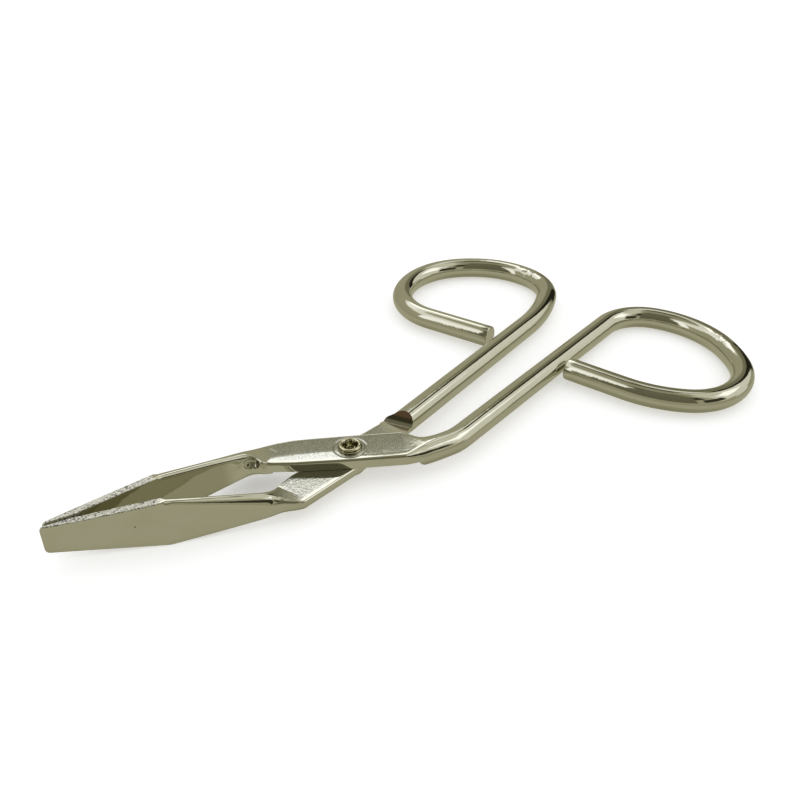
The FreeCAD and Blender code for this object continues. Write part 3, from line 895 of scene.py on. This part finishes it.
def room_light(net):
    """The room as seen in the metal: an elevation ramp with the patches over it."""
    gain = 1.62
    x, y, z = net.axes(net.coords("Generated"))
    azimuth = net.mul(net.math("ARCTAN2", y, x), 180.0 / math.pi)
    elevation = net.mul(net.math("ARCSINE", z), 180.0 / math.pi)
    ramp = net.node("ShaderNodeValToRGB")
    net.feed(ramp.inputs[0], net.math("DIVIDE", net.add(elevation, 90.0), 180.0))
    stops = ramp.color_ramp.elements
    stops.remove(stops[-1])
    for i, (angle, bright) in enumerate(ROOM):
        position = (angle + 90.0) / 180.0
        stop = stops.new(position) if i else stops[0]
        stop.position = position
        stop.color = grey(bright)
    room = ramp.outputs[0]
    for middle, half, edge, low, high, high_edge, bright in PATCHES:
        # Azimuth from the middle, in -180 to 180, so that a patch can straddle the seam.
        turned = net.math("MODULO", net.add(azimuth, 900.0 - middle), 360.0)
        turned = net.sub(turned, 180.0)
        mask = net.mul(band(net, turned, -half, half, edge),
                       band(net, elevation, low, high, high_edge))
        room = net.mix(mask, room, grey(bright))
    split = net.node("ShaderNodeSeparateColor")
    net.feed(split.inputs[0], room)
    bright = split.outputs[0]
    # Dim parts are yellowish, bright parts nearly white.
    tint = net.mix(net.ease(bright, start=0.02, end=0.75),
                   (1.0, 0.955, 0.60, 1), (1.0, 1.0, 0.98, 1))
    strength = net.mul(bright, gain)
    scaled = net.node("ShaderNodeVectorMath", operation="SCALE")
    net.feed(scaled.inputs[0], tint)
    net.feed(scaled.inputs[3], strength)
    return scaled.outputs[0]


def build_world():
    """The room for reflections, even white for diffuse light, plain white for the camera."""
    world = bpy.data.worlds.new("studio")
    SCENE.world = world
    net = Net(world)
    output = net.node("ShaderNodeOutputWorld")
    room = net.node("ShaderNodeBackground")
    net.feed(room.inputs[0], room_light(net))
    shader = room.outputs[0]
    rays = net.node("ShaderNodeLightPath")
    for ray, strength in (("Is Diffuse Ray", 0.78), ("Is Camera Ray", 1.0)):
        white = net.node("ShaderNodeBackground")
        white.inputs[0].default_value = (1, 1, 1, 1)
        white.inputs[1].default_value = strength
        choice = net.node("ShaderNodeMixShader")
        for socket, value in zip(choice.inputs, (rays.outputs[ray], shader, white.outputs[0])):
            net.feed(socket, value)
        shader = choice.outputs[0]
    net.feed(output.inputs[0], shader)


def build_camera():
    """Looks down and towards +X, +Y, from beyond the near side of the jaws."""
    lens = bpy.data.cameras.new("camera")
    camera = bpy.data.objects.new("camera", lens)
    SCENE.collection.objects.link(camera)
    right = Vector((0.6046, -0.7965, 0.0))
    up = Vector((0.4458, 0.3384, 0.8287))
    back = Vector((-0.6601, -0.5010, 0.5597))
    turn = Matrix((right, up, back)).transposed().to_4x4()
    place_at = Vector((-0.06486, -0.05690, 0.06650 + LAP_Z * MM))
    camera.matrix_world = Matrix.Translation(place_at) @ turn
    lens.sensor_width = 36.0
    lens.lens = 39.73
    lens.clip_start, lens.clip_end = 0.005, 10.0
    SCENE.camera = camera
    SCENE.view_settings.view_transform = "Standard"


# ----------------------------------------------------------------------- build
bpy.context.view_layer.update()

NICKEL, NICKEL_STAIN = (0.70, 0.695, 0.61, 1), (0.62, 0.60, 0.49, 1)
upper_nickel = metal("arm_nickel", NICKEL, NICKEL_STAIN, upper_relief, upper_tint)
lower_nickel = metal("arm_nickel_lower", NICKEL, NICKEL_STAIN, lower_relief, speck_tint)
lap_nickel = metal("lap_nickel", (0.78, 0.77, 0.72, 1), (0.70, 0.68, 0.60, 1),
                   tint=shoulder_tint)
rivet_nickel = metal("rivet_nickel", (0.72, 0.69, 0.52, 1), (0.55, 0.51, 0.34, 1),
                     tint=rivet_tint)
build_upper_arm(upper_nickel, lap_nickel)
build_lower_arm(lower_nickel, lap_nickel)
build_rivet(rivet_nickel)
build_floor()
build_world()
build_camera()
